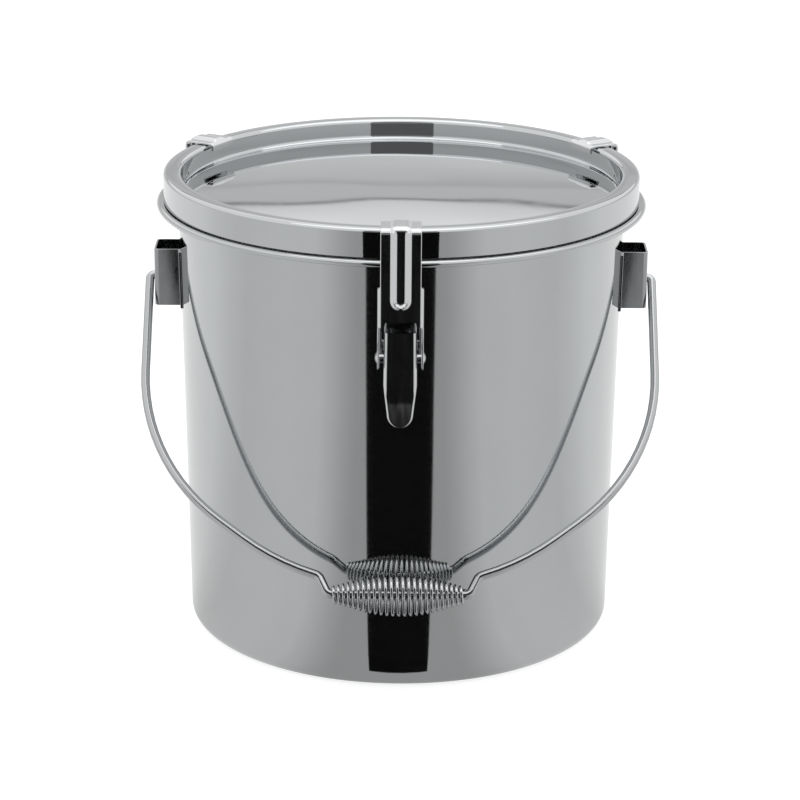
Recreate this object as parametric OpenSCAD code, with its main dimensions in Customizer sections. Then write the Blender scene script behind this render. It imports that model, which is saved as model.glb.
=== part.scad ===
// Sealed stainless steel milk can.
// A deep-drawn can with a rolled rim, a dished lid with a gasket in its ring, three over-centre
// hook latches and a swinging wire bail with a barrel-shaped coil-spring grip.
// Origin: centre of the can's flat base. +Z is up and -Y is the front, where one latch sits.

/* [Can] */
// Height of the rim's top face above the base
rim_z = 268.5; // [262:0.5:280]
// Outer radius of the wall at the rim
top_r = 136; // [135:0.5:137]
// Outer radius that the tapered wall would have at the base
base_r = 131; // [129:0.5:133]
// Outer radius of the corner between wall and base
corner_r = 8; // [5:0.5:12]
// Thickness of every drawn or folded sheet of the can and lid
sheet = 1; // [0.8:0.1:1.2]
// Outer radius of the rim flange
flange_r = 149; // [148:0.5:149]
// Radius of the rolled bead along the flange's edge
bead_r = 2; // [1.6:0.1:2.2]

/* [Lid] */
// Outer radius of the lid's ring
lid_r = 144.8; // [144:0.1:145.5]
// Height of the ring's top face above the rim
ring_h = 17.5; // [16.5:0.5:18.5]
// Gap between the skirt or gasket and the rim, over which the lid turns
lid_gap = 0.4; // [0.3:0.1:0.8]
// Radius of the ring's inner wall
ring_inner_r = 133.5; // [132:0.5:134.5]
// Depth of the dish's edge below the ring's top
dish_drop = 12.5; // [11:0.5:13.5]
// Rise of the dish's middle above its edge
dome_rise = 2; // [1:0.5:4]

/* [Latches] */
// Pivot of the lever on its base: distance from the can's axis
pin_a_r = 143.5; // [143:0.1:144]
// Pivot of the lever on its base: height
pin_a_z = 242.3; // [240:0.1:245]
// Pivot of the hook on the lever: distance from the can's axis, past centre when closed
pin_b_r = 146; // [145.5:0.1:146.5]
// Pivot of the hook on the lever: height
pin_b_z = 211; // [209:0.1:213]
// Radius of both pins of a latch
pin_r = 2; // [1.8:0.1:2.2]
// Radial running clearance of a pin in its bore
pin_play = 0.08; // [0.03:0.01:0.1]
// Thickness of the latch's plates
plate = 1.2; // [1:0.1:1.3]
// Width of the hook plate
hook_w = 23.3; // [22:0.1:24]
// Height of the hook plate's lower corners, at its folds
hook_low_z = 230; // [229:0.5:231]
// How far the raised rib stands out of the hook plate
rib_h = 1.2; // [0.6:0.1:1.4]

/* [Bail] */
// Radius of the bail's wire
wire_r = 2.75; // [2.5:0.05:3]
// Height of the bail's pivots above the base
pivot_z = 218; // [215:0.5:220]
// Distance of the grip from the pivots
bail_reach = 211; // [208:0.5:212]
// Angle of the resting bail forward of straight down, with the grip at the wall
bail_lean = 43.8; // [43.8:0.1:46]
// Distance of the outer face of each lug from the can's axis
lug_x = 150.8; // [149:0.1:151]

/* [Grip] */
// Radius of the grip's spring wire
coil_wire_r = 1; // [0.8:0.05:1.2]
// Number of turns
coil_turns = 25; // [20:1:28]
// Largest radius of the coil's centre line, at its middle
coil_mid_r = 12.2; // [9:0.1:12.3]
// Half of the coil's length
coil_half = 39.6; // [36:0.1:39.8]
// How much wider than average the turns are spaced in the middle, and closer at the ends
coil_spread = 0.1; // [0:0.01:0.15]

/* [Hidden] */
$fn = 96;
$arc_step = 9;

// Azimuths of the three latches, 120 degrees apart
front_az = -90;
rear_right_az = 30;
rear_left_az = 150;

// Lid
ring_top = rim_z + ring_h;
ring_edge_r = 2;
fillet_r = 2.5;
skirt_low = rim_z + lid_gap + 0.4;
dish_edge_r = ring_inner_r - fillet_r;
dome_r = (pow(dish_edge_r, 2) + pow(dome_rise, 2)) / (2 * dome_rise);
dome_tilt = asin(dish_edge_r / dome_r);
gasket_in_r = ring_inner_r + sheet;
gasket_out_r = lid_r - sheet;
gasket_mid_r = (gasket_in_r + gasket_out_r) / 2;
gasket_bulb_r = 3.6;
gasket_back_h = 8;

// Latch plates, as half widths or as distances from the can's axis
hook_in_r = flange_r + 0.6;
hook_out_r = hook_in_r + plate;
hook_top = ring_top + 0.4 + plate;
hook_bend_r = 3.2;
lip_bend_r = 2.4;
lip_in_r = 129.5;
lip_low = ring_top - 3.1;
hook_mid_z = hook_low_z + 3;
ear_in = 12;
ear_top = 254;
ear_corner = 1.5;
rib_half = 6.15;
rib_slot_half = 2.4;
rib_low = 240.2;
base_ear_in = 9.6;
base_half = 11.4;
base_low = 226;
base_high = 260;
base_out_r = top_r + 1.6;
base_root_half = 9;
lever_half = 9.3;
web_top = 227;
web_low = 195;
lever_out_r = hook_out_r + 0.2;
tongue_half = 7.5;
tongue_round_z = 178.5;
tongue_path = [[0, web_top - web_low], [20, 7], [0, 25]];
lever_back = 6;
channel_depth = 2.7;
eye_r = 4.8;
hook_eye_r = 7;
collar_r = 3.2;

// Lugs
lug_low = 202;
lug_high = 237.5;
lug_half = 12.4;
lug_wing_half = 20;
lug_plate = 1.2;

// Bail. Its path runs from the left pivot to the right one, in the bail's own plane.
arm_bend_r = 3.1;
wall_gap = 0.4;
bend_x = lug_x + wall_gap;
grip_straight = 38.4;
lower_path = [[5, 65], [0, 7.6], [5, -47], [140, 20], [0, 18]];
lower_end = path_end(lower_path, [grip_straight, -bail_reach], 0);
lower_heading = path_turn(lower_path);
sweep_r = (bend_x + arm_bend_r - lower_end[0]) / (1 - sin(lower_heading));
arm_low = lower_end[1] + sweep_r * cos(lower_heading);
side_path = concat(lower_path, [
    [sweep_r, 90 - lower_heading], [0, -arm_bend_r - arm_low], [arm_bend_r, 90]
]);
bail_path = concat(reversed(side_path), [[0, 2 * grip_straight]], side_path);
wire_sides = 14;
pivot_len = 4.6;
head_r = 4.2;
head_len = 2.4;
coil_end_r = wire_r + 0.35 + coil_wire_r;
coil_steps = 14;
coil_sides = 6;

// ---- Paths: lists of [0, length] for a straight and [radius, turn] for an arc, left positive ----

function ahead(p, heading, d) = p + d * [cos(heading), sin(heading)];
function beside(p, heading, d) = p + d * [-sin(heading), cos(heading)];
function turn_of(s) = s[0] == 0 ? 0 : s[1];
function arc_centre(p, heading, s) = beside(p, heading, sign(s[1]) * s[0]);
function end_of(p, heading, s) = s[0] == 0
    ? ahead(p, heading, s[1])
    : beside(arc_centre(p, heading, s), heading + s[1], -sign(s[1]) * s[0]);
function path_end(path, p, heading, i = 0) = i == len(path)
    ? p
    : path_end(path, end_of(p, heading, path[i]), heading + turn_of(path[i]), i + 1);
function path_turn(path, i = 0) = i == len(path) ? 0 : turn_of(path[i]) + path_turn(path, i + 1);

// Points of one segment, moved sideways by d, without the segment's last point
function segment_points(p, heading, s, d) = s[0] == 0
    ? [beside(p, heading, d)]
    : let (c = arc_centre(p, heading, s), steps = max(1, ceil(abs(s[1]) / $arc_step)))
      [for (k = [0:steps - 1]) beside(c, heading + s[1] * k / steps, d - sign(s[1]) * s[0])];
function path_points(path, p, heading, d, i = 0) = i == len(path)
    ? [beside(p, heading, d)]
    : concat(segment_points(p, heading, path[i], d),
             path_points(path, end_of(p, heading, path[i]), heading + turn_of(path[i]), d, i + 1));
function reversed(v) = [for (i = [len(v) - 1:-1:0]) v[i]];

// Section of a bent sheet: the path is one face and the other lies `thick` to its left
module bent_sheet(path, start, heading, thick) {
    polygon(concat(path_points(path, start, heading, 0),
                   reversed(path_points(path, start, heading, thick))));
}

// Triangles of a tube whose points are `rows` rings of `m` points each
function tube_faces(rows, m) = concat(
    [for (i = [0:rows - 2], k = [0:m - 1]) let (j = (k + 1) % m)
        each [[i * m + k, i * m + j, (i + 1) * m + j], [i * m + k, (i + 1) * m + j, (i + 1) * m + k]]],
    [[for (k = [m - 1:-1:0]) k], [for (k = [0:m - 1]) (rows - 1) * m + k]]
);

// Round wire along a path in the XY plane
module bent_wire(path, start, heading, r, sides) {
    lanes = [for (k = [0:sides - 1]) path_points(path, start, heading, r * cos(360 * k / sides))];
    rows = len(lanes[0]);
    polyhedron(
        [for (i = [0:rows - 1], k = [0:sides - 1])
            [lanes[k][i][0], lanes[k][i][1], -r * sin(360 * k / sides)]],
        tube_faces(rows, sides)
    );
}

// ---- Can and lid ----

function wall_r(z) = base_r + (top_r - base_r) * z / rim_z;
wall_tilt = atan((top_r - base_r) / rim_z);

// Solid of the can's outer face, moved outwards by `extra`
module wall_cone(extra) {
    cylinder(h = rim_z, r1 = base_r + extra, r2 = top_r + extra, $fn = 180);
}

module can_outline(inset, floor_z, top) {
    r = corner_r - inset;
    c = wall_r(corner_r * (1 - sin(wall_tilt))) - corner_r * cos(wall_tilt);
    corner = [for (k = [0:8]) let (a = -90 + k * (90 - wall_tilt) / 8)
        [c + r * cos(a), corner_r + r * sin(a)]];
    polygon(concat([[0, floor_z]], corner, [[wall_r(top) - inset, top], [0, top]]));
}

module can_shell() {
    color([0.72, 0.73, 0.74]) rotate_extrude($fn = 180) {
        difference() {
            can_outline(0, 0, rim_z);
            can_outline(sheet, sheet, rim_z + 1);
        }
        translate([top_r - sheet / 2, rim_z - sheet])
            square([flange_r - bead_r - top_r + sheet / 2, sheet]);
        translate([flange_r - bead_r, rim_z - bead_r]) circle(bead_r, $fn = 24);
    }
}

lid_path = [
    [0, ring_top - ring_edge_r - skirt_low], [ring_edge_r, 90],
    [0, lid_r - ring_inner_r - ring_edge_r - fillet_r], [fillet_r, 90],
    [0, dish_drop - 2 * fillet_r], [fillet_r, -90 - dome_tilt],
    [dome_r, dome_tilt]
];

module lid_shell() {
    color([0.76, 0.77, 0.78]) rotate_extrude($fn = 180) intersection() {
        bent_sheet(lid_path, [lid_r, skirt_low], 90, sheet);
        translate([0, rim_z]) square([lid_r + 1, ring_h + 1]);
    }
}

// Sealing ring: a flat back pressed up into the lid's ring, with a round bulb against the rim
module lid_gasket() {
    low = rim_z + lid_gap;
    bulb_z = low + gasket_bulb_r;
    color([0.86, 0.86, 0.84]) rotate_extrude($fn = 180) {
        translate([gasket_in_r, bulb_z]) square([gasket_out_r - gasket_in_r, gasket_back_h]);
        translate([gasket_mid_r, bulb_z]) circle(gasket_bulb_r, $fn = 32);
    }
}

// ---- Bail lugs: open boxes with two wings that lie on the wall ----

module lug() {
    color([0.62, 0.63, 0.64]) difference() {
        union() {
            difference() {
                translate([top_r - 6, -lug_half, lug_low])
                    cube([lug_x - top_r + 6, 2 * lug_half, lug_high - lug_low]);
                translate([top_r - 10, lug_plate - lug_half, lug_low - 1])
                    cube([lug_x - lug_plate - top_r + 10, 2 * (lug_half - lug_plate),
                          lug_high - lug_low + 2]);
            }
            intersection() {
                difference() {
                    wall_cone(lug_plate);
                    translate([0, lug_plate - lug_half, 0])
                        cube([2 * top_r, 2 * (lug_half - lug_plate), rim_z]);
                }
                translate([top_r - 20, -lug_wing_half, lug_low])
                    cube([30, 2 * lug_wing_half, lug_high - lug_low]);
            }
        }
        wall_cone(0);
        translate([top_r, 0, pivot_z]) rotate([0, 90, 0]) cylinder(h = 30, r = wire_r + pin_play);
    }
}

module lug_right() {
    lug();
}

module lug_left() {
    mirror([1, 0, 0]) lug();
}

// ---- Bail and grip, drawn in the bail's plane and leaned to rest on the wall ----

module at_bail() {
    translate([0, 0, pivot_z]) rotate([90 - bail_lean, 0, 0]) children();
}

// End of the wire inside a lug: a true round pivot and the upset head that keeps it there
module bail_end() {
    translate([bend_x - pivot_len, 0, 0]) rotate([0, 90, 0]) {
        cylinder(h = pivot_len, r = wire_r);
        translate([0, 0, -head_len]) cylinder(h = head_len, r = head_r);
    }
}

module bail_wire() {
    color([0.66, 0.67, 0.68]) at_bail() {
        bent_wire(bail_path, [-bend_x, 0], 180, wire_r - 0.02, wire_sides, $arc_step = 6);
        bail_end();
        mirror([1, 0, 0]) bail_end();
    }
}

// Radius of the coil's centre line at distance x from its middle
function coil_r(x) = coil_end_r
    + (coil_mid_r - coil_end_r) * pow(max(0, cos(90 * x / coil_half)), 1.2);
function coil_x(t) = let (u = 2 * t / coil_turns - 1)
    (coil_half - coil_wire_r) * (u + coil_spread * sin(180 * u) / PI);
function coil_ring(t) = let (x = coil_x(t), a = 360 * t, r = coil_r(x))
    [for (k = [0:coil_sides - 1]) let (b = 360 * k / coil_sides, q = r + coil_wire_r * cos(b))
        [x + coil_wire_r * sin(b), q * cos(a), q * sin(a)]];

module grip_coil() {
    rows = coil_turns * coil_steps + 1;
    color([0.8, 0.81, 0.82]) at_bail() translate([0, -bail_reach, 0]) polyhedron(
        [for (i = [0:rows - 1]) each coil_ring(i / coil_steps)], tube_faces(rows, coil_sides)
    );
}

// ---- Latches, drawn with the radial direction along +X and the hook's width along Y ----

// Extrudes a side outline, given as (distance from axis, height), between two y values
module between(y0, y1) {
    translate([0, y1, 0]) rotate([90, 0, 0]) linear_extrude(y1 - y0) children();
}

module both_sides(y0, y1) {
    between(y0, y1) children();
    between(-y1, -y0) children();
}

module latch_bore(r, at_r, z) {
    translate([at_r, 0, z]) rotate([90, 0, 0]) cylinder(h = 60, r = r, center = true);
}

// Base welded to the wall, with two ears that hold the lever's pin
module latch_base() {
    color([0.6, 0.61, 0.62]) difference() {
        union() {
            translate([base_r, -base_half, base_low])
                cube([base_out_r - base_r, 2 * base_half, base_high - base_low]);
            both_sides(base_ear_in, base_ear_in + plate) {
                translate([base_r, pin_a_z - base_root_half])
                    square([base_out_r + 0.4 - base_r, 2 * base_root_half]);
                translate([base_r, pin_a_z - eye_r]) square([pin_a_r - base_r, 2 * eye_r]);
                translate([pin_a_r, pin_a_z]) circle(eye_r, $fn = 48);
            }
        }
        wall_cone(0);
        latch_bore(pin_r, pin_a_r, pin_a_z);
    }
}

// Hand lever: a channel that swings on the base and carries the hook, with a tongue to pull
module latch_lever() {
    color([0.7, 0.71, 0.72]) difference() {
        union() {
            both_sides(lever_half - plate, lever_half) {
                polygon([
                    [pin_a_r - eye_r, pin_a_z], [pin_a_r + eye_r, pin_a_z],
                    [hook_in_r - 0.7, web_top + 2], [lever_out_r, web_top],
                    [lever_out_r, web_low], [lever_out_r - channel_depth, web_low],
                    [pin_b_r - lever_back, pin_b_z - 3], [pin_b_r - lever_back, pin_b_z + 6]
                ]);
                translate([pin_a_r, pin_a_z]) circle(eye_r, $fn = 48);
            }
            intersection() {
                between(-lever_half, lever_half)
                    bent_sheet(tongue_path, [lever_out_r, web_top], -90, -plate);
                translate([lever_out_r - 5, 0, 0]) rotate([90, 0, 90]) linear_extrude(15) {
                    polygon([
                        [-lever_half - 1, web_top + 1], [-lever_half - 1, web_low],
                        [-lever_half, web_low], [-tongue_half, tongue_round_z],
                        [tongue_half, tongue_round_z], [lever_half, web_low],
                        [lever_half + 1, web_low], [lever_half + 1, web_top + 1]
                    ]);
                    translate([0, tongue_round_z]) circle(tongue_half);
                }
            }
        }
        latch_bore(pin_r + pin_play, pin_a_r, pin_a_z);
        latch_bore(pin_r + pin_play, pin_b_r, pin_b_z);
    }
}

strap_len = hook_out_r - hook_bend_r - lip_bend_r - lip_in_r;
hook_path = [
    [0, hook_top - hook_bend_r - hook_mid_z], [hook_bend_r, 90], [0, strap_len], [lip_bend_r, 90],
    [0, hook_top - lip_bend_r - lip_low]
];

// Rib of the hook: a U on the flat plate, whose legs join where it runs over the bend and the strap
module hook_rib() {
    rib_centre = rib_low + rib_half;
    rib_top = hook_top - hook_bend_r;
    both_sides(rib_slot_half, rib_half)
        translate([hook_out_r, rib_centre]) square([rib_h, rib_top - rib_centre]);
    translate([hook_out_r, 0, rib_centre]) rotate([0, 90, 0]) rotate([0, 0, -90])
        rotate_extrude(angle = 180)
        translate([rib_slot_half, 0]) square([rib_half - rib_slot_half, rib_h]);
    between(-rib_half, rib_half)
        bent_sheet([[hook_bend_r, 90], [0, strap_len]], [hook_out_r, rib_top], 90, -rib_h);
}

// Hook: a plate bent over the lid's ring, with a raised rib and two ears on the lever's pin
module latch_hook() {
    fold_half = ear_in + plate;
    color([0.74, 0.75, 0.76]) difference() {
        union() {
            between(-hook_w / 2, hook_w / 2) bent_sheet(hook_path, [hook_out_r, hook_mid_z], 90, plate);
            translate([hook_in_r, 0, 0]) rotate([90, 0, 90]) linear_extrude(plate) polygon([
                [-fold_half, hook_low_z], [-fold_half, ear_top - ear_corner],
                [-hook_w / 2, ear_top], [hook_w / 2, ear_top],
                [fold_half, ear_top - ear_corner], [fold_half, hook_low_z],
                [ear_in - 1, hook_low_z], [ear_in - 3, hook_mid_z],
                [3 - ear_in, hook_mid_z], [1 - ear_in, hook_low_z]
            ]);
            hook_rib();
            both_sides(ear_in, fold_half) {
                polygon([
                    [hook_out_r, ear_top - ear_corner], [pin_b_r + 1, ear_top - 2 * ear_corner],
                    [pin_b_r - 5, pin_b_z + 25], [pin_b_r - hook_eye_r, pin_b_z],
                    [pin_b_r + hook_eye_r, pin_b_z], [hook_out_r, hook_low_z]
                ]);
                translate([pin_b_r, pin_b_z]) circle(hook_eye_r, $fn = 48);
            }
        }
        latch_bore(pin_r, pin_b_r, pin_b_z);
    }
}

// Rivet along Y with a low domed head at each end; `reach` is half of its shank
module rivet(at_r, z, reach, dome_base, dome_h) {
    ball_r = (pow(dome_base, 2) + pow(dome_h, 2)) / (2 * dome_h);
    translate([at_r, 0, z]) {
        rotate([90, 0, 0]) cylinder(h = 2 * reach, r = pin_r, center = true);
        for (side = [-1, 1]) rotate([-90 * side, 0, 0]) intersection() {
            translate([0, 0, reach + dome_h - ball_r]) sphere(ball_r, $fn = 64);
            translate([0, 0, reach]) cylinder(h = dome_h + 1, r = dome_base + 1);
        }
    }
}

module lever_pin() {
    color([0.8, 0.81, 0.82]) rivet(pin_a_r, pin_a_z, base_ear_in + plate, 3.4, 0.9);
}

// Pin of the hook, with a collar on each side that keeps the lever central between the ears
module hook_pin() {
    collar_len = ear_in - lever_half - 0.3;
    color([0.8, 0.81, 0.82]) {
        rivet(pin_b_r, pin_b_z, ear_in + plate, 3.4, 1.4);
        for (side = [-1, 1]) translate([pin_b_r, side * (ear_in - collar_len / 2), pin_b_z])
            rotate([90, 0, 0]) cylinder(h = collar_len, r = collar_r, center = true);
    }
}

module at_latch(azimuth) {
    rotate([0, 0, azimuth]) children();
}

module latch_base_front() at_latch(front_az) latch_base();
module latch_lever_front() at_latch(front_az) latch_lever();
module latch_hook_front() at_latch(front_az) latch_hook();
module lever_pin_front() at_latch(front_az) lever_pin();
module hook_pin_front() at_latch(front_az) hook_pin();
module latch_base_rear_right() at_latch(rear_right_az) latch_base();
module latch_lever_rear_right() at_latch(rear_right_az) latch_lever();
module latch_hook_rear_right() at_latch(rear_right_az) latch_hook();
module lever_pin_rear_right() at_latch(rear_right_az) lever_pin();
module hook_pin_rear_right() at_latch(rear_right_az) hook_pin();
module latch_base_rear_left() at_latch(rear_left_az) latch_base();
module latch_lever_rear_left() at_latch(rear_left_az) latch_lever();
module latch_hook_rear_left() at_latch(rear_left_az) latch_hook();
module lever_pin_rear_left() at_latch(rear_left_az) lever_pin();
module hook_pin_rear_left() at_latch(rear_left_az) hook_pin();

can_shell();
lid_shell();
lid_gasket();
lug_left();
lug_right();
bail_wire();
grip_coil();
latch_base_front();
latch_lever_front();
latch_hook_front();
lever_pin_front();
hook_pin_front();
latch_base_rear_right();
latch_lever_rear_right();
latch_hook_rear_right();
lever_pin_rear_right();
hook_pin_rear_right();
latch_base_rear_left();
latch_lever_rear_left();
latch_hook_rear_left();
lever_pin_rear_left();
hook_pin_rear_left();
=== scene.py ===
import math

import bmesh
import bpy
from mathutils import Matrix, Vector


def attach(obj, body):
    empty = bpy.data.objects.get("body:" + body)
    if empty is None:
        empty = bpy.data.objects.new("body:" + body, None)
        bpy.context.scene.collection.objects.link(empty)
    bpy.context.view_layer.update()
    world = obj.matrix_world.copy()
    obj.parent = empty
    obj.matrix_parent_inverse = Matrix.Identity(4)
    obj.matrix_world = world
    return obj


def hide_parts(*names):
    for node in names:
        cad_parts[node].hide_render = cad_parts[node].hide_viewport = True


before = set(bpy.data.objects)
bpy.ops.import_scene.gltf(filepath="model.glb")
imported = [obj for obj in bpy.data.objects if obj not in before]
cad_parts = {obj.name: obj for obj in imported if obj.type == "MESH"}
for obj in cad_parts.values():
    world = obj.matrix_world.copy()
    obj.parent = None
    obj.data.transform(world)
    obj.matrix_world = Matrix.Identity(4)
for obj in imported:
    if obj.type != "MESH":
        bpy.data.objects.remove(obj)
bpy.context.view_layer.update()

MM = 0.001
TAU = 2 * math.pi

# ---- Driving sizes of the can, in millimetres ----
# The main sizes repeat the CAD model's, but for RIB_HALF, which is 6.15 there.

RIM_Z = 268.5
TOP_R = 136.0
BASE_R = 131.0
CORNER_R = 8.0
SHEET = 1.0
FLANGE_R = 149.0
BEAD_R = 2.0

LID_R = 144.8
RING_TOP = RIM_Z + 17.5
SKIRT_LOW = RIM_Z + 0.8
RING_INNER_R = 133.5
DISH_DROP = 12.5
DOME_RISE = 2.0

PIN_A = (143.5, 242.3)
PIN_B = (146.0, 211.0)
LEVER_EYE_R = 4.8
HOOK_EYE_R = 7.0
PLATE = 1.2
HOOK_OUT_R = FLANGE_R + 0.6 + PLATE
HOOK_TOP = RING_TOP + 0.4 + PLATE
HOOK_HALF = 11.65
HOOK_LOW_Z = 230.0
HOOK_MID_Z = HOOK_LOW_Z + 3.0
EAR_IN = 12.0
EAR_TOP = 254.0
RIB_H = 1.2
RIB_HALF = 5.8
RIB_SLOT_HALF = 2.4
RIB_MID = (RIB_HALF + RIB_SLOT_HALF) / 2
RIB_LOW = 240.2
RIB_CAP_OVER = 0.25
LIP_IN_R = 129.5
LIP_LOW = RING_TOP - 3.1
FOLD_R = 2.4
STRAP_FOLD_R = 0.5
EAR_BLEND = 1.8
EAR_FLANGE = 2.2
LEVER_HALF = 9.3
LEVER_FOLD_R = 2.2
LEVER_BACK = 6.0
LEVER_OUT_R = HOOK_OUT_R + 0.2
WEB_TOP = 227.0
WEB_LOW = 195.0
WEB_SPREAD = 0.3
TONGUE_HALF = 7.5
TONGUE_ROUND_Z = 178.5
TONGUE_FOLD_R = 1.2
TONGUE_SLOPE = math.tan(math.radians(7))
CURL_RUN = 10
CURL_RATE = 0.006

LUG_X = 150.8
LUG_LOW = 202.0
LUG_HIGH = 237.5
LUG_HALF = 12.4
LUG_WING_HALF = 20.0

WIRE_R = 2.75
PIVOT_Z = 218.0
BAIL_REACH = 211.0
BAIL_LEAN = 43.8
COIL_WIRE_R = 1.0
COIL_TURNS = 25
COIL_MID_R = 12.2
COIL_HALF = 39.6
COIL_SPREAD = 0.1
COIL_END_GAP = 0.35
COIL_BULGE = 1.2
COIL_TIP = 0.55

LATCHES = {"front": -90.0, "rear_right": 30.0, "rear_left": 150.0}


# ---- Camera ----

CAMERA_BACK = 1.7612
CAMERA_UP = 0.7161
CAMERA_PITCH = math.radians(18.18)
CAMERA_ROLL = 0.007
SENSOR = 36.0
LENS = 133.64


def make_camera():
    data = bpy.data.cameras.new("camera")
    data.sensor_width = SENSOR
    data.lens = LENS
    data.clip_start, data.clip_end = 0.05, 50.0
    cam = bpy.data.objects.new("camera", data)
    cam.location = (0, -CAMERA_BACK, CAMERA_UP)
    tilt = Matrix.Rotation(math.pi / 2 - CAMERA_PITCH, 4, "X")
    cam.rotation_euler = (tilt @ Matrix.Rotation(CAMERA_ROLL, 4, "Z")).to_euler()
    bpy.context.scene.collection.objects.link(cam)
    bpy.context.scene.camera = cam


# ---- Paths: lists of (0, length) for a straight and (radius, turn) for an arc, left positive ----

def beside(p, heading, d):
    a = math.radians(heading)
    return (p[0] - d * math.sin(a), p[1] + d * math.cos(a))


def trace(path, start, heading, step=6.0, offset=0.0, cut=1e9):
    """Points of a path moved sideways by offset.

    Arcs are cut every `step` degrees, and straights every `cut` mm.
    """
    points = []
    p = start
    for radius, amount in path:
        if radius == 0:
            count = max(1, math.ceil(amount / cut))
            for k in range(count):
                q = beside(p, heading - 90, amount * k / count)
                points.append(beside(q, heading, offset))
            p = beside(p, heading - 90, amount)
        else:
            side = math.copysign(1.0, amount)
            centre = beside(p, heading, side * radius)
            count = max(1, math.ceil(abs(amount) / step))
            for k in range(count):
                points.append(beside(centre, heading + amount * k / count, offset - side * radius))
            heading += amount
            p = beside(centre, heading, -side * radius)
    points.append(beside(p, heading, offset))
    return points


def arc(centre, radius, start, end, count):
    """Points on an arc from one angle to another, in degrees, both ends kept."""
    angles = [math.radians(start + (end - start) * k / count) for k in range(count + 1)]
    return [(centre[0] + radius * math.cos(a), centre[1] + radius * math.sin(a)) for a in angles]


# ---- Mesh helpers ----

def finish_piece(bm, name, body, node, material, sharp=35.0, bevel=0.0):
    """Turns a bmesh in millimetres into a smooth-shaded piece that rides on a body and replaces a node."""
    bmesh.ops.scale(bm, vec=(MM, MM, MM), verts=bm.verts)
    bmesh.ops.recalc_face_normals(bm, faces=bm.faces)
    limit = math.radians(sharp)
    for face in bm.faces:
        face.smooth = True
    for edge in bm.edges:
        if len(edge.link_faces) == 2 and edge.calc_face_angle(0.0) > limit and bevel == 0:
            edge.smooth = False
    mesh = bpy.data.meshes.new(name)
    bm.to_mesh(mesh)
    bm.free()
    piece = bpy.data.objects.new(name, mesh)
    bpy.context.scene.collection.objects.link(piece)
    mesh.materials.append(material)
    if bevel:
        mod = piece.modifiers.new("edges", "BEVEL")
        mod.width = bevel * MM
        mod.segments = 3
        mod.limit_method = "ANGLE"
        mod.angle_limit = limit
        mod.harden_normals = True
    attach(piece, body)
    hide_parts(node)
    return piece


def lathe(bm, profile, segments):
    """Revolves (radius, height) points about Z. The profile starts and ends on the axis."""
    rings = []
    for r, z in profile:
        if r < 1e-6:
            rings.append([bm.verts.new((0, 0, z))])
        else:
            angles = [TAU * k / segments for k in range(segments)]
            rings.append([bm.verts.new((r * math.cos(a), r * math.sin(a), z)) for a in angles])
    for low, high in zip(rings, rings[1:]):
        for k in range(segments):
            j = (k + 1) % segments
            corners = [low[k % len(low)], low[j % len(low)], high[j % len(high)], high[k % len(high)]]
            kept = [v for i, v in enumerate(corners) if v not in corners[:i]]
            if len(kept) > 2:
                bm.faces.new(kept)


def prism(bm, outline, place, low, high):
    """Extrudes a closed outline between two depths; place(u, v, depth) gives each corner."""
    ends = [[bm.verts.new(place(u, v, d)) for u, v in outline] for d in (low, high)]
    bm.faces.new(ends[0])
    bm.faces.new(list(reversed(ends[1])))
    count = len(outline)
    for k in range(count):
        j = (k + 1) % count
        bm.faces.new((ends[0][j], ends[0][k], ends[1][k], ends[1][j]))


def tube(bm, centres, normals, radii, sides):
    """Closed tube around a list of centres; normals gives each ring's (left, up) unit vectors."""
    rings = []
    for c, (left, up), r in zip(centres, normals, radii):
        ring = []
        for k in range(sides):
            a = TAU * k / sides
            ring.append(bm.verts.new(c + left * (r * math.cos(a)) + up * (r * math.sin(a))))
        rings.append(ring)
    for low, high in zip(rings, rings[1:]):
        for k in range(sides):
            j = (k + 1) % sides
            bm.faces.new((low[k], low[j], high[j], high[k]))
    bm.faces.new(list(reversed(rings[0])))
    bm.faces.new(rings[-1])


# ---- Materials ----

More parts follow.
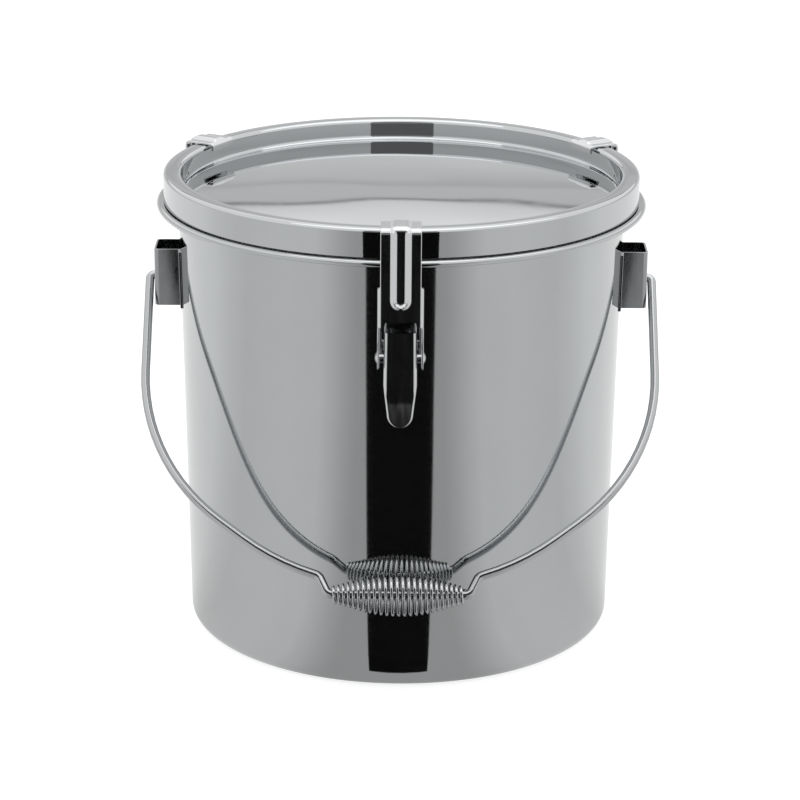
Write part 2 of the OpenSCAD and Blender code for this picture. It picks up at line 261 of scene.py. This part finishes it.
def steel(name, color, roughness, spread, scratch, scratch_scale, wave=0.0, stretch=(1, 1, 1)):
    """Polished or drawn stainless steel: roughness that varies, fine scratches and slow waviness."""
    mat = bpy.data.materials.new(name)
    mat.use_nodes = True
    nodes, links = mat.node_tree.nodes, mat.node_tree.links
    shader = nodes["Principled BSDF"]
    shader.inputs["Metallic"].default_value = 1.0
    coord = nodes.new("ShaderNodeTexCoord")
    mapping = nodes.new("ShaderNodeMapping")
    mapping.inputs["Scale"].default_value = stretch
    links.new(coord.outputs["Object"], mapping.inputs["Vector"])

    cloud = nodes.new("ShaderNodeTexNoise")
    cloud.inputs["Scale"].default_value = 22.0
    cloud.inputs["Detail"].default_value = 6.0
    cloud.inputs["Roughness"].default_value = 0.65
    links.new(coord.outputs["Object"], cloud.inputs["Vector"])

    tone = nodes.new("ShaderNodeMix")
    tone.data_type = "RGBA"
    tone.inputs["A"].default_value = (*[c * 0.95 for c in color], 1)
    tone.inputs["B"].default_value = (*[min(1.0, c * 1.04) for c in color], 1)
    links.new(cloud.outputs["Fac"], tone.inputs["Factor"])
    links.new(tone.outputs["Result"], shader.inputs["Base Color"])

    lines = nodes.new("ShaderNodeTexNoise")
    lines.inputs["Scale"].default_value = scratch_scale
    lines.inputs["Detail"].default_value = 4.0
    lines.inputs["Roughness"].default_value = 0.6
    links.new(mapping.outputs["Vector"], lines.inputs["Vector"])

    rough = nodes.new("ShaderNodeMapRange")
    rough.inputs["From Min"].default_value = 0.3
    rough.inputs["From Max"].default_value = 0.7
    rough.inputs["To Min"].default_value = max(0.02, roughness - spread)
    rough.inputs["To Max"].default_value = roughness + spread
    links.new(lines.outputs["Fac"], rough.inputs["Value"])
    links.new(rough.outputs["Result"], shader.inputs["Roughness"])

    fine = nodes.new("ShaderNodeBump")
    fine.inputs["Strength"].default_value = scratch
    fine.inputs["Distance"].default_value = 0.00002
    links.new(lines.outputs["Fac"], fine.inputs["Height"])
    if wave:
        slow = nodes.new("ShaderNodeTexNoise")
        slow.inputs["Scale"].default_value = 9.0
        slow.inputs["Detail"].default_value = 1.0
        links.new(coord.outputs["Object"], slow.inputs["Vector"])
        ripple = nodes.new("ShaderNodeBump")
        ripple.inputs["Strength"].default_value = wave
        ripple.inputs["Distance"].default_value = 0.0004
        links.new(slow.outputs["Fac"], ripple.inputs["Height"])
        links.new(ripple.outputs["Normal"], fine.inputs["Normal"])
    links.new(fine.outputs["Normal"], shader.inputs["Normal"])
    return mat


def silicone():
    mat = bpy.data.materials.new("gasket_silicone")
    mat.use_nodes = True
    nodes, links = mat.node_tree.nodes, mat.node_tree.links
    shader = nodes["Principled BSDF"]
    shader.inputs["Subsurface Weight"].default_value = 0.2
    shader.inputs["Subsurface Radius"].default_value = (0.004, 0.004, 0.003)
    noise = nodes.new("ShaderNodeTexNoise")
    noise.inputs["Scale"].default_value = 160.0
    noise.inputs["Detail"].default_value = 5.0
    tone = nodes.new("ShaderNodeMix")
    tone.data_type = "RGBA"
    tone.inputs["A"].default_value = (0.72, 0.72, 0.69, 1)
    tone.inputs["B"].default_value = (0.82, 0.82, 0.8, 1)
    links.new(noise.outputs["Fac"], tone.inputs["Factor"])
    links.new(tone.outputs["Result"], shader.inputs["Base Color"])
    rough = nodes.new("ShaderNodeMapRange")
    rough.inputs["To Min"].default_value = 0.45
    rough.inputs["To Max"].default_value = 0.65
    links.new(noise.outputs["Fac"], rough.inputs["Value"])
    links.new(rough.outputs["Result"], shader.inputs["Roughness"])
    bump = nodes.new("ShaderNodeBump")
    bump.inputs["Strength"].default_value = 0.2
    bump.inputs["Distance"].default_value = 0.0001
    links.new(noise.outputs["Fac"], bump.inputs["Height"])
    links.new(bump.outputs["Normal"], shader.inputs["Normal"])
    return mat


POLISHED = steel("polished_steel", (0.56, 0.575, 0.58), 0.06, 0.02, 0.25, 60.0, 0.25, (1, 1, 14))
LID_STEEL = steel("polished_lid", (0.59, 0.605, 0.615), 0.03, 0.008, 0.12, 60.0, 1.0, (1, 1, 14))
# Hooks and levers: the steel's own colour raised to 0.75, partly real colour and partly painted highlight
# that makes the straps look brighter
PRESSED_PAINTED_HIGHLIGHT = steel("pressed_steel", (0.75, 0.76, 0.77), 0.08, 0.03, 0.4, 260.0, 0.15, (1, 1, 0.2))
# Lugs and latch bases: a darker copy of the pressed steel, its own colour lowered to 0.4 by painted shade
LUG_PAINTED_SHADE_STEEL = steel("lug_steel_painted_shade", (0.4, 0.41, 0.42), 0.12, 0.04, 0.5, 260.0, 0.3, (1, 1, 0.2))
WIRE = steel("wire_steel", (0.5, 0.51, 0.52), 0.12, 0.05, 0.5, 420.0, 0.0, (0.25, 1, 1))
SPRING = steel("spring_steel", (0.6, 0.61, 0.62), 0.06, 0.03, 0.3, 500.0)
RIVET = steel("pin_steel", (0.66, 0.67, 0.68), 0.14, 0.05, 0.4, 700.0)
SILICONE = silicone()


# ---- Can shell, lid and gasket ----

def wall_r(z):
    return BASE_R + (TOP_R - BASE_R) * z / RIM_Z


WALL_TILT = math.degrees(math.atan((TOP_R - BASE_R) / RIM_Z))
ROUND_CELLS = 288


def corner_centre_r():
    tilt = math.radians(WALL_TILT)
    return wall_r(CORNER_R * (1 - math.sin(tilt))) - CORNER_R * math.cos(tilt)


def can_shell():
    corner = (corner_centre_r(), CORNER_R)
    bead = (FLANGE_R - BEAD_R, RIM_Z - BEAD_R)
    under = RIM_Z - SHEET
    fillet, mouth_r = 1.6, 1.4
    bead_gap, bead_tuck = 0.02, 12
    neck = (wall_r(under) + fillet, under - fillet)
    lowest, spacing = 20, 22
    heights = [lowest + k * spacing for k in range(12)]
    base_rings = (0, 60, 110)
    outside = [(r, 0) for r in base_rings] + arc(corner, CORNER_R, -90, -WALL_TILT, 16)
    outside += [(wall_r(z), z) for z in heights if z < neck[1]]
    outside += arc(neck, fillet, 180, 90, 8)
    touch = math.degrees(math.asin(SHEET / BEAD_R))
    rim = arc(bead, BEAD_R - bead_gap, 180 - touch - bead_tuck, 450, 30)
    mouth = arc((TOP_R - SHEET + mouth_r, RIM_Z - mouth_r), mouth_r, 90, 180, 8)
    inside = [(wall_r(z) - SHEET, z) for z in reversed(heights)]
    inside += arc(corner, CORNER_R - SHEET, -WALL_TILT, -90, 16)
    inside += [(r, SHEET) for r in reversed(base_rings)]
    bm = bmesh.new()
    lathe(bm, outside + rim + mouth + inside, ROUND_CELLS)
    finish_piece(bm, "can_shell_polished", "can", "can_shell", POLISHED, sharp=50)


def lid_path():
    corner, fillet = 2, 2.5
    edge_r = RING_INNER_R - fillet
    dome_r = (edge_r ** 2 + DOME_RISE ** 2) / (2 * DOME_RISE)
    tilt = math.degrees(math.asin(edge_r / dome_r))
    path = [(0, RING_TOP - corner - SKIRT_LOW), (corner, 90),
            (0, LID_R - RING_INNER_R - corner - fillet), (fillet, 90),
            (0, DISH_DROP - 2 * fillet), (fillet, -90 - tilt)]
    steps = 14
    return path + [(dome_r, tilt / steps)] * steps


def lid_shell():
    outer = trace(lid_path(), (LID_R, SKIRT_LOW), 90, step=7.5)
    inner = trace(lid_path(), (LID_R, SKIRT_LOW), 90, step=7.5, offset=SHEET)
    outer[-1] = (0, outer[-1][1])
    inner[-1] = (0, inner[-1][1])
    bm = bmesh.new()
    lathe(bm, list(reversed(outer)) + inner, ROUND_CELLS)
    finish_piece(bm, "lid_shell_polished", "lid", "lid_shell", LID_STEEL, sharp=50)


# ---- Bail lugs ----

def lug(name, side):
    """Hat-shaped strip: two wings on the wall, two sides and an outer face, with rounded folds."""
    fold = 3.0
    depth_in = TOP_R - 1.0
    wing_sunk = 0.05
    bm = bmesh.new()
    path = [(0, LUG_X - depth_in - fold), (fold, 90), (0, 2 * (LUG_HALF - fold)), (fold, 90),
            (0, LUG_X - depth_in - fold)]
    outer = trace(path, (depth_in, -LUG_HALF), 0, step=9)
    inner = trace(path, (depth_in, -LUG_HALF), 0, step=9, offset=PLATE)
    section = outer + list(reversed(inner))
    prism(bm, section, lambda u, v, d: (side * u, v, d), LUG_LOW, LUG_HIGH)
    a0 = math.degrees(math.asin((LUG_HALF - PLATE) / TOP_R))
    a1 = math.degrees(math.asin(LUG_WING_HALF / TOP_R))
    steps = 6
    angles = [a0 + (a1 - a0) * k / steps for k in range(steps + 1)]
    outline = [(a, 1) for a in angles] + [(a, 0) for a in reversed(angles)]
    for wing in (-1, 1):
        def place(angle, layer, z):
            r = wall_r(z) + layer * PLATE - wing_sunk * (1 - layer)
            t = math.radians(angle)
            return (side * r * math.cos(t), wing * r * math.sin(t), z)

        prism(bm, outline, place, LUG_LOW, LUG_HIGH)
    # The lug's material is darkened by painted shade
    finish_piece(bm, name + "_pressed", "can", name, LUG_PAINTED_SHADE_STEEL, sharp=40, bevel=0.25)


# ---- Bail and grip ----

LEAN = math.radians(BAIL_LEAN)
GRIP_STRAIGHT = 38.4
BEND_R = 3.1
BEND_X = LUG_X + 0.4
PIVOT_LEN = 4.6
PIVOT_SHORT = 0.3
S_BEND = [(5, 65), (0, 7.6), (5, -47), (140, 20), (0, 18)]
HEAD_R = 4.2
HEAD_LEN = 2.4


def in_bail(u, v, w=0.0):
    """A point of the bail's own plane, with v measured up from the pivots and w out of the plane."""
    up = Vector((0, math.sin(LEAN), math.cos(LEAN)))
    out = Vector((0, -math.cos(LEAN), math.sin(LEAN)))
    return Vector((u, 0, PIVOT_Z)) + up * v + out * w


def bail_path():
    """The wire from one lug to the other: an arm, a sweep and an S-bend on each side of the grip."""
    ends = trace(S_BEND, (GRIP_STRAIGHT, -BAIL_REACH), 0)
    heading = sum(a for r, a in S_BEND if r)
    sweep = (BEND_X + BEND_R - ends[-1][0]) / (1 - math.sin(math.radians(heading)))
    arm_low = ends[-1][1] + sweep * math.cos(math.radians(heading))
    side = S_BEND + [(sweep, 90 - heading), (0, -BEND_R - arm_low), (BEND_R, 90)]
    side += [(0, PIVOT_LEN - PIVOT_SHORT)]
    return list(reversed(side)) + [(0, 2 * GRIP_STRAIGHT)] + side


def bail_wire():
    path = bail_path()
    start = (-BEND_X + PIVOT_LEN - PIVOT_SHORT, 0)
    line = trace(path, start, 180, step=4, cut=12)
    left = trace(path, start, 180, step=4, cut=12, offset=1)
    centres = [in_bail(*p) for p in line]
    up = in_bail(0, 0, 1) - in_bail(0, 0)
    normals = [((in_bail(*q) - in_bail(*p)).normalized(), up) for p, q in zip(line, left)]
    sides = 28
    bm = bmesh.new()
    tube(bm, centres, normals, [WIRE_R] * len(centres), sides)
    head = [(-0.1, HEAD_R - 0.6), (0, HEAD_R - 0.2), (0.5, HEAD_R), (HEAD_LEN - 0.7, HEAD_R),
            (HEAD_LEN, HEAD_R - 0.9)]
    frames = [(Vector((0, 1, 0)), Vector((0, 0, 1)))] * len(head)
    for side in (-1, 1):
        x0 = side * (BEND_X - PIVOT_LEN)
        places = [Vector((x0 - side * depth, 0, PIVOT_Z)) for depth, r in head]
        tube(bm, places, frames, [r for depth, r in head], sides)
    finish_piece(bm, "bail_wire_drawn", "bail", "bail_wire", WIRE, sharp=45)


def coil_r(x):
    end_r = WIRE_R + COIL_END_GAP + COIL_WIRE_R
    bulge = max(0.0, math.cos(math.radians(90 * x / COIL_HALF)))
    return end_r + (COIL_MID_R - end_r) * bulge ** COIL_BULGE


def grip_coil():
    steps, sides = 48, 12
    total = COIL_TURNS * steps
    axis = Vector((1, 0, 0))
    up = in_bail(0, 1) - in_bail(0, 0)
    out = in_bail(0, 0, 1) - in_bail(0, 0)
    centre = in_bail(0, -BAIL_REACH)
    centres, frames = [], []
    for i in range(total + 1):
        t = i / steps
        u = 2 * t / COIL_TURNS - 1
        x = (COIL_HALF - COIL_WIRE_R) * (u + COIL_SPREAD * math.sin(math.pi * u) / math.pi)
        radial = up * math.cos(TAU * t) + out * math.sin(TAU * t)
        centres.append(centre + axis * x + radial * coil_r(x))
        frames.append((radial, axis))
    bm = bmesh.new()
    radii = [COIL_WIRE_R * (COIL_TIP if i in (0, total) else 1) for i in range(total + 1)]
    tube(bm, centres, frames, radii, sides)
    finish_piece(bm, "grip_coil_spring", "grip", "grip_coil", SPRING, sharp=60)


# ---- Latches ----

def latch_frame(azimuth):
    """Places (distance from axis, across, height) of a latch at its azimuth."""
    t = math.radians(azimuth)
    c, s = math.cos(t), math.sin(t)
    return lambda r, y, z: (r * c - y * s, r * s + y * c, z)


def smoothstep(x):
    x = min(1.0, max(0.0, x))
    return x * x * (3 - 2 * x)


def rib_height(across, along_up, closed):
    """Height of the hook's raised rib: a U of two sloping sides, which closes into one hump at the bend.

    along_up is measured up the plate from the centre of the rib's round lower end.
    """
    if along_up >= 0:
        d = abs(across)
    else:
        d = math.hypot(across, along_up)
    leg = max(0.0, 1 - abs(d - RIB_MID) / (RIB_HALF - RIB_MID))
    hump = max(0.0, 1 - (d / (RIB_HALF + RIB_CAP_OVER)) ** 4)
    return RIB_H * (leg * (1 - closed) + hump * closed)


def folded_row(half, roll, flange, roll_cells, folded):
    """Across a sheet with edges rolled back: (y, outer depth, inner depth) from one edge to the other."""
    inner_roll = max(0.0, roll - PLATE)
    side = []
    for k in range(roll_cells + 1):
        a = math.pi / 2 * k / roll_cells
        outer = (half - roll + roll * math.sin(a), roll * (1 - math.cos(a)))
        bent = (half - roll + inner_roll * math.sin(a), roll - inner_roll * math.cos(a))
        plain = (outer[0], PLATE)
        side.append((outer, tuple(b * folded + p * (1 - folded) for b, p in zip(bent, plain))))
    end_outer, end_inner = side[-1]
    side.append(((end_outer[0], end_outer[1] + flange), (end_inner[0], end_inner[1] + flange)))
    stops = [0.0, RIB_SLOT_HALF, RIB_MID, RIB_HALF, half - roll]
    flat = []
    for low, high, cells in zip(stops, stops[1:], (6, 6, 6, 10)):
        flat += [low + (high - low) * k / cells for k in range(1, cells + 1)]
    flat = [-y for y in reversed(flat[:-1])] + [0.0] + flat[:-1]
    left = [((-o[0], o[1]), (-n[0], n[1])) for o, n in reversed(side)]
    return left + [((y, 0.0), (y, PLATE)) for y in flat] + side


def hook_sheet(bm, at):
    """The bent plate of a hook as a fine grid, with the rib pressed out of it and folds into its ears."""
    bend, lip = 3.2, 2.4
    rib_fade, rib_closing, notch_fade, inner_press = 3.0, 2.5, 6.0, 0.6
    path = [(0, HOOK_TOP - bend - HOOK_LOW_Z), (bend, 90),
            (0, HOOK_OUT_R - bend - lip - LIP_IN_R), (lip, 90), (0, HOOK_TOP - lip - LIP_LOW)]
    line = trace(path, (HOOK_OUT_R, HOOK_LOW_Z), 90, step=7.5, cut=0.6)
    inner = trace(path, (HOOK_OUT_R, HOOK_LOW_Z), 90, step=7.5, cut=0.6, offset=1)
    run = [0.0]
    for p, q in zip(line, line[1:]):
        run.append(run[-1] + math.dist(p, q))
    rib_base = RIB_LOW + RIB_HALF - HOOK_LOW_Z
    bend_at = HOOK_TOP - bend - HOOK_LOW_Z
    strap_end = run[-1] - (HOOK_TOP - lip - LIP_LOW) - lip * math.pi / 2
    layers = ([], [])
    for p, q, along in zip(line, inner, run):
        plain = smoothstep((along - (EAR_TOP - EAR_BLEND - HOOK_LOW_Z)) / EAR_BLEND)
        half = (EAR_IN + PLATE) * (1 - plain) + HOOK_HALF * plain
        roll = FOLD_R * (1 - plain) + STRAP_FOLD_R * plain
        fade = smoothstep((strap_end + rib_fade / 2 - along) / rib_fade)
        closed = smoothstep((along - bend_at) / rib_closing)
        notch = (HOOK_MID_Z - HOOK_LOW_Z) * max(0.0, 1 - along / notch_fade)
        rows = ([], [])
        columns = folded_row(half, roll, EAR_FLANGE * (1 - plain), 8, 1 - plain)
        for (y, out_depth), (y_in, in_depth) in columns:
            h = rib_height(y, along - rib_base, closed) * fade
            lift = notch * smoothstep((EAR_IN - 1.0 - abs(y)) / 2.0)
            pressed = inner_press * h * plain
            for layer, across, depth in ((0, y, out_depth - h), (1, y_in, in_depth - pressed)):
                r = p[0] + (q[0] - p[0]) * depth
                z = p[1] + (q[1] - p[1]) * depth + lift
                rows[layer].append(bm.verts.new(at(r, across, z)))
        for layer in (0, 1):
            layers[layer].append(rows[layer])
    close_layers(bm, layers)


def close_layers(bm, layers):
    """Faces of two grids of the same size and the strip around their edges."""
    front, back = layers
    rows, columns = len(front), len(front[0])
    for i in range(rows - 1):
        for k in range(columns - 1):
            bm.faces.new((front[i][k], front[i][k + 1], front[i + 1][k + 1], front[i + 1][k]))
            bm.faces.new((back[i][k], back[i + 1][k], back[i + 1][k + 1], back[i][k + 1]))
    rim = [(0, k) for k in range(columns)] + [(i, columns - 1) for i in range(1, rows)]
    rim += [(rows - 1, k) for k in range(columns - 2, -1, -1)] + [(i, 0) for i in range(rows - 2, 0, -1)]
    for (i, k), (j, m) in zip(rim, rim[1:] + rim[:1]):
        bm.faces.new((front[j][m], front[i][k], back[i][k], back[j][m]))


def inset(outline, amount):
    """The same outline moved inwards."""
    count = len(outline)
    area = sum(p[0] * q[1] - q[0] * p[1] for p, q in zip(outline, outline[1:] + outline[:1]))
    turn = math.copysign(1.0, area)
    moved = []
    for k in range(count):
        a, b, c = outline[k - 1], outline[k], outline[(k + 1) % count]
        first = Vector((a[1] - b[1], b[0] - a[0])).normalized()
        second = Vector((b[1] - c[1], c[0] - b[0])).normalized()
        miter = (first + second) / max(0.4, 1 + first.dot(second))
        moved.append((b[0] + miter.x * amount * turn, b[1] + miter.y * amount * turn))
    return moved


def side_plate(bm, at, outline, y0, y1, edge=0.4):
    """A flat plate across the latch's width, with rounded edges."""
    angles = [math.radians(a) for a in (90, 60, 30, 0)]
    layers = [(y0 + edge * (1 - math.sin(a)), edge * (1 - math.cos(a))) for a in angles]
    layers += [(y1 - edge * (1 - math.sin(a)), edge * (1 - math.cos(a))) for a in reversed(angles)]
    rings = [[bm.verts.new(at(r, y, z)) for r, z in inset(outline, amount)] for y, amount in layers]
    bm.faces.new(rings[0])
    bm.faces.new(list(reversed(rings[-1])))
    for low, high in zip(rings, rings[1:]):
        for k in range(len(outline)):
            j = (k + 1) % len(outline)
            bm.faces.new((low[j], low[k], high[k], high[j]))


def hook_ear_outline():
    front = HOOK_OUT_R - FOLD_R + 0.2
    lower = arc(PIN_B, HOOK_EYE_R, 180, 366, 30)
    return [(HOOK_OUT_R - 0.1, HOOK_LOW_Z - 0.6), (front, HOOK_LOW_Z + 0.4), (front, EAR_TOP - 1.5),
            (PIN_B[0] + 1, EAR_TOP - 3), (PIN_B[0] - 5, PIN_B[1] + 25)] + lower


def latch_hook(where, azimuth):
    at = latch_frame(azimuth)
    bm = bmesh.new()
    hook_sheet(bm, at)
    for side in (-1, 1):
        low, high = sorted((side * EAR_IN, side * (EAR_IN + PLATE - 0.02)))
        side_plate(bm, at, hook_ear_outline(), low, high)
    # The hook's material carries painted highlight in its raised base colour
    finish_piece(bm, f"latch_hook_{where}_pressed", f"hook_{where}",
                 f"latch_hook_{where}", PRESSED_PAINTED_HIGHLIGHT, sharp=40)


def lever_side_outline():
    front = LEVER_OUT_R - LEVER_FOLD_R + 0.2
    upper = arc(PIN_A, LEVER_EYE_R, 0, 180, 24)
    return upper + [(PIN_B[0] - LEVER_BACK, PIN_B[1] + 6), (PIN_B[0] - LEVER_BACK, PIN_B[1] - 3),
                    (LEVER_OUT_R - 2.7, WEB_LOW), (front, WEB_LOW),
                    (front, WEB_TOP - 0.3), (HOOK_OUT_R - PLATE - 0.7, WEB_TOP + 2)]


def lever_half(z):
    """Half width of the lever at a height, down the taper and the round end of its tongue."""
    if z >= WEB_LOW:
        return LEVER_HALF + WEB_SPREAD * (WEB_TOP - z) / (WEB_TOP - WEB_LOW)
    if z >= TONGUE_ROUND_Z:
        up = (z - TONGUE_ROUND_Z) / (WEB_LOW - TONGUE_ROUND_Z)
        return TONGUE_HALF + (LEVER_HALF + WEB_SPREAD - TONGUE_HALF) * up
    drop = TONGUE_ROUND_Z - z
    return math.sqrt(max(0.0, TONGUE_HALF ** 2 - drop ** 2))


def lever_sheet(bm, at):
    """Web and tongue of a lever: edges rounded back, and a curl outwards at the tongue."""
    columns, rows = 32, 90
    narrowest, thinnest, fold_blend = 0.35, 0.35, 6
    low = TONGUE_ROUND_Z - TONGUE_HALF + 0.01
    layers = []
    for layer in (0, 1):
        grid = []
        for i in range(rows + 1):
            t = i / rows
            z = WEB_TOP + (low - WEB_TOP) * (1 - (1 - t) ** 1.6)
            half = max(narrowest, lever_half(z))
            bend = max(0.0, WEB_LOW - z)
            flare = TONGUE_SLOPE * max(0.0, bend - CURL_RUN) + CURL_RATE * min(bend, CURL_RUN) ** 2
            row = []
            for k in range(columns + 1):
                y = half * math.sin(math.pi / 2 * (2 * k / columns - 1))
                edge = half - abs(y)
                roll = LEVER_FOLD_R + (TONGUE_FOLD_R - LEVER_FOLD_R) * smoothstep(bend / fold_blend)
                round_off = 0.0
                if edge < roll:
                    round_off = roll - math.sqrt(max(0.0, roll ** 2 - (roll - edge) ** 2))
                depth = round_off if layer == 0 else max(PLATE, round_off + thinnest)
                row.append(bm.verts.new(at(LEVER_OUT_R + flare - depth, y, z)))
            grid.append(row)
        layers.append(grid)
    close_layers(bm, layers)


def latch_lever(where, azimuth):
    at = latch_frame(azimuth)
    bm = bmesh.new()
    lever_sheet(bm, at)
    for side in (-1, 1):
        low, high = sorted((side * (LEVER_HALF - PLATE), side * (LEVER_HALF - 0.02)))
        side_plate(bm, at, lever_side_outline(), low, high)
    # The lever's material carries painted highlight in its raised base colour
    finish_piece(bm, f"latch_lever_{where}_pressed", f"lever_{where}",
                 f"latch_lever_{where}", PRESSED_PAINTED_HIGHLIGHT, sharp=40)


# ---- Stage: the pale floor, surfaces that only reflections see, lights ----

def stage_mesh(name, corners, faces, material):
    mesh = bpy.data.meshes.new(name)
    mesh.from_pydata(corners, [], faces)
    obj = bpy.data.objects.new(name, mesh)
    bpy.context.scene.collection.objects.link(obj)
    mesh.materials.append(material)
    return obj


def matt(name, albedo, glow):
    """Matt surface that also gives off a plain grey light."""
    mat = bpy.data.materials.new(name)
    mat.use_nodes = True
    shader = mat.node_tree.nodes["Principled BSDF"]
    shader.inputs["Base Color"].default_value = (albedo, albedo, albedo, 1)
    shader.inputs["Roughness"].default_value = 1.0
    shader.inputs["Specular IOR Level"].default_value = 0.0
    shader.inputs["Emission Color"].default_value = (1, 1, 1, 1)
    shader.inputs["Emission Strength"].default_value = glow
    return mat


def ramp_of(nodes, stops):
    """Colour ramp of greys through (position, value) stops."""
    ramp = nodes.new("ShaderNodeValToRGB")
    elements = ramp.color_ramp.elements
    while len(elements) < len(stops):
        elements.new(0.5)
    for element, (position, value) in zip(elements, stops):
        element.position = position
        element.color = (value, value, value, 1)
    return ramp


def shaded_floor_material():
    """Glow of the floor layer that only reflections see, by direction: dim in front, brightest behind."""
    mat = bpy.data.materials.new("shaded_floor")
    mat.use_nodes = True
    nodes, links = mat.node_tree.nodes, mat.node_tree.links
    nodes.remove(nodes["Principled BSDF"])
    glow = nodes.new("ShaderNodeEmission")
    links.new(glow.outputs["Emission"], nodes["Material Output"].inputs["Surface"])
    coord = nodes.new("ShaderNodeTexCoord")
    around = nodes.new("ShaderNodeVectorMath")
    around.operation = "NORMALIZE"
    links.new(coord.outputs["Object"], around.inputs[0])
    axes = nodes.new("ShaderNodeSeparateXYZ")
    links.new(around.outputs["Vector"], axes.inputs["Vector"])
    span = nodes.new("ShaderNodeMapRange")
    span.inputs["From Min"].default_value = -1.0
    links.new(axes.outputs["Y"], span.inputs["Value"])
    ramp = ramp_of(nodes, [((1 - math.cos(math.radians(a))) / 2, value) for a, value in FLOOR_LIGHT])
    links.new(span.outputs["Result"], ramp.inputs["Fac"])
    links.new(ramp.outputs["Color"], glow.inputs["Color"])
    return mat


def reflected_only(obj):
    """Hides a stage piece from everything but glossy reflections."""
    obj.visible_camera = False
    obj.visible_diffuse = False
    obj.visible_shadow = False
    obj.visible_transmission = False


# The rest of this section is in metres
CARD_SPREAD = math.tan(math.radians(17.8))
CARD_NEAR = 0.148
CARD_NARROW_AT = 0.134
CARD_NARROW_HALF = 0.018
CARD_FAR = 2.9
CARD_HEIGHT = 2.2
SHELF_Z = 0.2865
SHELF = [(-0.35, -0.28), (0.35, -0.28), (0.9, -1.6), (-0.9, -1.6)]
FLOOR_REACH = 12.0
GRADED_FLOOR_Z = 0.0003
STRIP_Z = 0.0006
# (degrees around the can from the front, brightness)
FLOOR_LIGHT = [(0, 0.44), (20, 0.44), (25, 0.5), (31, 0.6), (38, 0.7), (55, 0.72), (80, 0.69), (92, 0.76),
               (104, 0.86), (180, 0.98)]


def card_half(distance):
    return CARD_NARROW_HALF + (distance - CARD_NARROW_AT) * CARD_SPREAD


def flat_square(reach, z):
    return [(-reach, -reach, z), (reach, -reach, z), (reach, reach, z), (-reach, reach, z)]


def make_stage():
    quad = [(0, 1, 2, 3)]
    stage_mesh("floor", flat_square(FLOOR_REACH, 0), quad, matt("pale_floor", 0.5, 0.72))
    graded = flat_square(FLOOR_REACH, GRADED_FLOOR_Z)
    near, far = card_half(CARD_NEAR), card_half(CARD_FAR)
    strip = [(-near, -CARD_NEAR, STRIP_Z), (near, -CARD_NEAR, STRIP_Z),
             (far, -CARD_FAR, STRIP_Z), (-far, -CARD_FAR, STRIP_Z)]
    front = [(-far, -CARD_FAR, 0), (far, -CARD_FAR, 0),
             (far, -CARD_FAR, CARD_HEIGHT), (-far, -CARD_FAR, CARD_HEIGHT)]
    shelf = [(x, y, SHELF_Z) for x, y in SHELF]
    reflected_only(stage_mesh("shaded_floor", graded, quad, shaded_floor_material()))
    for name, corners, glow in (("dark_floor_card", strip, 0.004), ("dim_front_card", front, 0.17),
                                ("dim_shelf_card", shelf, 0.05)):
        reflected_only(stage_mesh(name, corners, quad, matt(name, 0.0, glow)))


def area_light(name, place, target, size, power):
    data = bpy.data.lights.new(name, "AREA")
    data.shape = "RECTANGLE"
    data.size, data.size_y = size
    data.energy = power
    light = bpy.data.objects.new(name, data)
    light.location = place
    light.rotation_euler = (Vector(target) - Vector(place)).to_track_quat("-Z", "Y").to_euler()
    bpy.context.scene.collection.objects.link(light)


# (height of the direction looked in: 0 level, 1 straight up; brightness), with two thin dark lines
ROOM_LIGHT = [(0.0, 0.72), (0.2, 0.72), (0.234, 0.6), (0.2365, 0.3), (0.239, 0.62), (0.264, 0.62),
              (0.2665, 0.0), (0.269, 0.8), (0.292, 0.97), (0.32, 1.1), (0.5, 1.0), (1.0, 1.0)]
SOFTBOX_PLACE = (0.2, 0.3, 2.4)
SOFTBOX_TARGET = (0, 0, 0.15)
SOFTBOX_SIZE = (2.2, 2.2)
SOFTBOX_WATTS = 11


def make_lights():
    world = bpy.data.worlds.new("studio")
    bpy.context.scene.world = world
    world.use_nodes = True
    nodes, links = world.node_tree.nodes, world.node_tree.links
    coord = nodes.new("ShaderNodeTexCoord")
    axes = nodes.new("ShaderNodeSeparateXYZ")
    links.new(coord.outputs["Generated"], axes.inputs["Vector"])
    ramp = ramp_of(nodes, ROOM_LIGHT)
    links.new(axes.outputs["Z"], ramp.inputs["Fac"])
    links.new(ramp.outputs["Color"], nodes["Background"].inputs["Color"])
    area_light("top_softbox", SOFTBOX_PLACE, SOFTBOX_TARGET, SOFTBOX_SIZE, SOFTBOX_WATTS)
    bpy.context.scene.view_settings.view_transform = "Standard"


# ---- Build ----

def coat(node, material):
    """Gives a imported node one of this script's materials."""
    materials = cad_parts[node].data.materials
    materials.clear()
    materials.append(material)


make_camera()
can_shell()
lid_shell()
lug("lug_right", 1)
lug("lug_left", -1)
bail_wire()
grip_coil()
for where, azimuth in LATCHES.items():
    latch_hook(where, azimuth)
    latch_lever(where, azimuth)
    # The latch base gets the same steel, darkened by painted shade
    coat(f"latch_base_{where}", LUG_PAINTED_SHADE_STEEL)
    coat(f"lever_pin_{where}", RIVET)
    coat(f"hook_pin_{where}", RIVET)
coat("lid_gasket", SILICONE)
make_stage()
make_lights()
